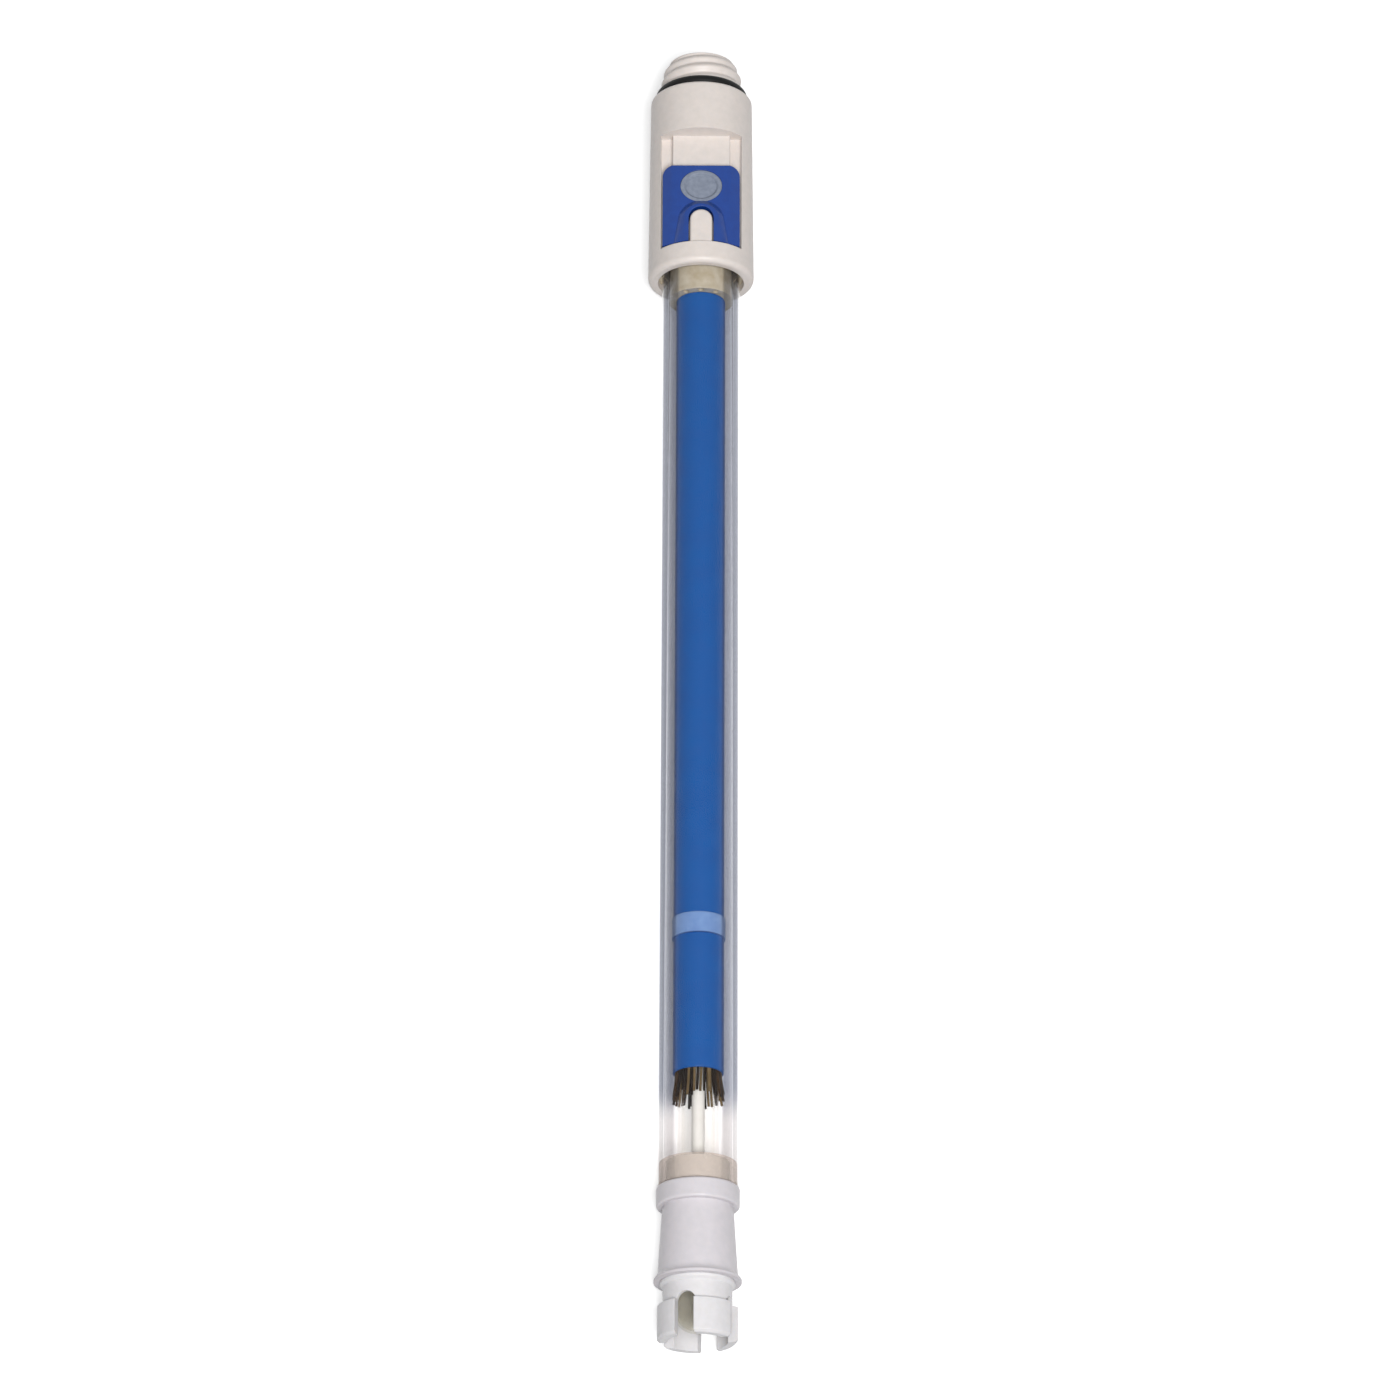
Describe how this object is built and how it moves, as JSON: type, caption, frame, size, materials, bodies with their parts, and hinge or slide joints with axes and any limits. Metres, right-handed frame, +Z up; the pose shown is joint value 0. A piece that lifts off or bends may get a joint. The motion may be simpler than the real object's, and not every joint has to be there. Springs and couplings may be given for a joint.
{
  "type": "ph electrode",
  "caption": "Combination pH electrode: clear shaft with blue inner sleeves, white screw head with sliding refill closure, ground junction sleeve and pronged membrane guard.",
  "frame": {"origin": "centre of the bounding box's bottom face: the electrode lies on a table at z = 0", "axes": "+Y along the shaft towards the screw head, +Z up, on the side of the refill closure"},
  "size_m": [0.0162, 0.2072, 0.0163],
  "materials": {
    "head_white": "satin moulded",
    "slider_blue": "satin moulded",
    "seal_grey": "soft silicone",
    "ring_black": "moulded",
    "insulator_white": "smooth",
    "contact_gold": "gold plated",
    "contact_nickel": "nickel plated",
    "shaft_glass": "clear drawn glass",
    "potting_beige": "cast resin",
    "rubber_dark": "moulded",
    "stem_glass": "clear blown glass",
    "sleeve_blue": "smooth",
    "spacer_clear": "translucent",
    "wire_brown": "coated wire",
    "wire_silver": "drawn wire",
    "cement_tan": "matt cement",
    "cone_ceramic": "ground",
    "junction_white": "satin",
    "guard_white": "satin moulded"
  },
  "bodies": {
    "head_and_shaft": {"head_housing": "head_white", "coupling_insert": "head_white", "coupling_o_ring": "ring_black", "contact_insulator": "insulator_white", "centre_contact": "contact_gold", "shield_contact": "contact_nickel", "outer_tube": "shaft_glass", "head_potting": "potting_beige", "chamber_seal": "rubber_dark", "stem_stopper": "rubber_dark", "inner_glass": "stem_glass", "upper_sleeve": "sleeve_blue", "sleeve_spacer": "spacer_clear", "lower_sleeve": "sleeve_blue", "reference_wires": "wire_brown", "reference_lead": "wire_silver", "inner_electrode": "wire_silver", "lead_insulation": "insulator_white", "lower_seal": "cement_tan", "junction_core": "cone_ceramic"},
    "slider": {"refill_slider": "slider_blue", "slider_seal": "seal_grey"},
    "sleeve": {"junction_sleeve": "junction_white", "membrane_guard": "guard_white"}
  },
  "joints": [
    {"name": "refill_slide", "type": "slide", "parent": "head_and_shaft", "child": "slider", "axis": [0, 0.9999, 0.0108], "range_m": [0, 0.0047]},
    {"name": "junction_slide", "type": "slide", "parent": "head_and_shaft", "child": "sleeve", "axis": [0, -0.9999, -0.0108], "range_m": [0, 0.003]}
  ]
}
